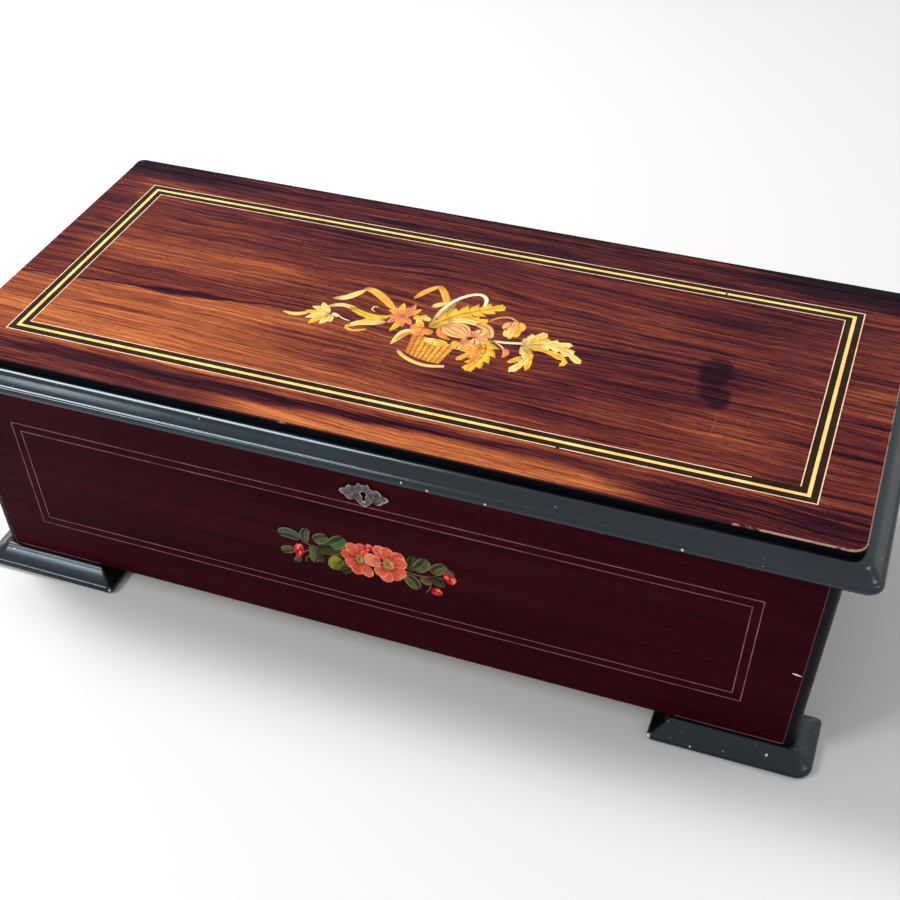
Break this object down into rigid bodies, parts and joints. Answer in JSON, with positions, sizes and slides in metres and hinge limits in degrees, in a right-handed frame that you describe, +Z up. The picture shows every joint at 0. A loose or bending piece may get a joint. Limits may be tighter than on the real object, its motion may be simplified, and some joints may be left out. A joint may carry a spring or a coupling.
{
  "type": "cylinder music box",
  "caption": "Inlaid wooden box on moulded feet with a hinged lid, holding a lever-wound movement: pinned cylinder, steel comb, spring barrel and air-brake governor.",
  "frame": {"origin": "on the floor under the middle of the whole box, feet and hinge knuckles included", "axes": "+X to the right along the length, +Y to the hinged back, +Z up"},
  "size_m": [0.533, 0.2512, 0.1537],
  "materials": {
    "mahogany": "old shellac polish over stained wood",
    "rosewood": "french polished veneer with stringing and marquetry",
    "ebonised": "black stained and polished",
    "inner_wood": "thin varnish",
    "nickel": "dull old plating",
    "brass": "satin, slightly aged",
    "steel": "fine ground",
    "iron": "painted casting",
    "glass": "clear sheet"
  },
  "bodies": {
    "case": {"front_panel": "mahogany", "back_panel": "mahogany", "left_end": "mahogany", "right_end": "mahogany", "bottom_board": "inner_wood", "left_partition": "inner_wood", "right_partition": "inner_wood", "foot_front_left": "ebonised", "foot_front_right": "ebonised", "foot_back_left": "ebonised", "foot_back_right": "ebonised", "escutcheon": "nickel", "lock_case": "brass", "case_hinge_leaf_left": "brass", "case_hinge_leaf_right": "brass", "bedplate": "iron", "comb_base": "brass", "comb": "steel", "barrel_bridge_left": "brass", "barrel_bridge_right": "brass", "cylinder_bridge_left": "brass", "cylinder_bridge_right": "brass", "governor_frame": "brass", "control_plate": "brass", "glass_frame": "inner_wood", "glass_pane": "glass"},
    "lid": {"lid_board": "rosewood", "lid_back_strip": "ebonised", "lid_moulding_front": "ebonised", "lid_moulding_left": "ebonised", "lid_moulding_right": "ebonised", "strike_plate": "brass", "lid_hinge_leaf_left": "brass", "lid_hinge_leaf_right": "brass"},
    "bolt": {"lock_bolt": "steel"},
    "barrel": {"spring_barrel": "brass", "great_wheel": "brass"},
    "winding": {"winding_arbor": "steel", "click_wheel": "steel", "lever_ratchet": "steel"},
    "click": {"click": "steel"},
    "lever": {"winding_lever": "brass", "lever_handle": "ebonised"},
    "pawl": {"lever_pawl": "steel"},
    "train": {"cylinder_arbor": "steel", "cylinder_pinion": "steel", "cylinder_wheel": "brass"},
    "cylinder": {"cylinder": "brass"},
    "snail": {"tune_snail": "steel"},
    "governor_first": {"governor_wheel_1": "brass"},
    "governor_second": {"governor_wheel_2": "brass"},
    "fly": {"endless_screw": "steel", "fly": "brass"},
    "start": {"start_lever": "steel"},
    "change": {"change_lever": "steel"}
  },
  "joints": [
    {"name": "lid_hinge", "type": "hinge", "parent": "case", "child": "lid", "pos_m": [0, 0.1231, 0.13715], "axis": [-1, 0, 0], "range_deg": [0, 100]},
    {"name": "lock_slide", "type": "slide", "parent": "case", "child": "bolt", "axis": [1, 0, 0], "range_m": [0, 0.006]},
    {"name": "cylinder_spin", "type": "hinge", "parent": "case", "child": "train", "pos_m": [-0.1072, 0.0223, 0.0713], "axis": [1, 0, 0], "continuous": true},
    {"name": "barrel_spin", "type": "hinge", "parent": "case", "child": "barrel", "pos_m": [-0.156, 0.0583, 0.0713], "axis": [1, 0, 0], "continuous": true},
    {"name": "governor_first_spin", "type": "hinge", "parent": "case", "child": "governor_first", "pos_m": [0.1474, 0.0517, 0.0713], "axis": [1, 0, 0], "continuous": true},
    {"name": "governor_second_spin", "type": "hinge", "parent": "case", "child": "governor_second", "pos_m": [0.1474, 0.06354, 0.07561], "axis": [1, 0, 0], "continuous": true},
    {"name": "fly_spin", "type": "hinge", "parent": "case", "child": "fly", "pos_m": [0.1599, 0.07374, 0.07561], "axis": [0, 0, 1], "continuous": true},
    {"name": "cylinder_shift", "type": "slide", "parent": "train", "child": "cylinder", "axis": [1, 0, 0], "range_m": [0, 0.002]},
    {"name": "snail_turn", "type": "hinge", "parent": "train", "child": "snail", "pos_m": [0.1386, 0.0223, 0.0863], "axis": [1, 0, 0], "continuous": true},
    {"name": "winding_turn", "type": "hinge", "parent": "case", "child": "winding", "pos_m": [-0.179, 0.0583, 0.0713], "axis": [1, 0, 0], "range_deg": [0, 1620]},
    {"name": "click_lift", "type": "hinge", "parent": "case", "child": "click", "pos_m": [-0.1605, 0.0655, 0.0903], "axis": [-1, 0, 0], "range_deg": [0, 15], "stiffness_Nm_per_rad": 0.005, "springref_deg": -17.19},
    {"name": "lever_swing", "type": "hinge", "parent": "case", "child": "lever", "pos_m": [-0.194, 0.0583, 0.0713], "axis": [-1, 0, 0], "range_deg": [0, 115]},
    {"name": "pawl_lift", "type": "hinge", "parent": "lever", "child": "pawl", "pos_m": [-0.187, 0.03579, 0.07733], "axis": [-1, 0, 0], "range_deg": [0, 20], "stiffness_Nm_per_rad": 0.005, "springref_deg": -17.19},
    {"name": "start_tilt", "type": "hinge", "parent": "case", "child": "start", "pos_m": [0.2013, 0.08674, 0.08204], "axis": [1, 0, 0], "range_deg": [0, 30]},
    {"name": "change_tilt", "type": "hinge", "parent": "case", "child": "change", "pos_m": [0.2013, -0.0099, 0.0963], "axis": [1, 0, 0], "range_deg": [0, 25]}
  ],
  "couplings": [
    {"joint": "barrel_spin", "follows": "cylinder_spin", "ratio": -0.25},
    {"joint": "governor_first_spin", "follows": "cylinder_spin", "ratio": -6},
    {"joint": "governor_second_spin", "follows": "cylinder_spin", "ratio": 15},
    {"joint": "fly_spin", "follows": "cylinder_spin", "ratio": -300},
    {"joint": "snail_turn", "follows": "cylinder_shift", "rad_per_m": 2618}
  ]
}
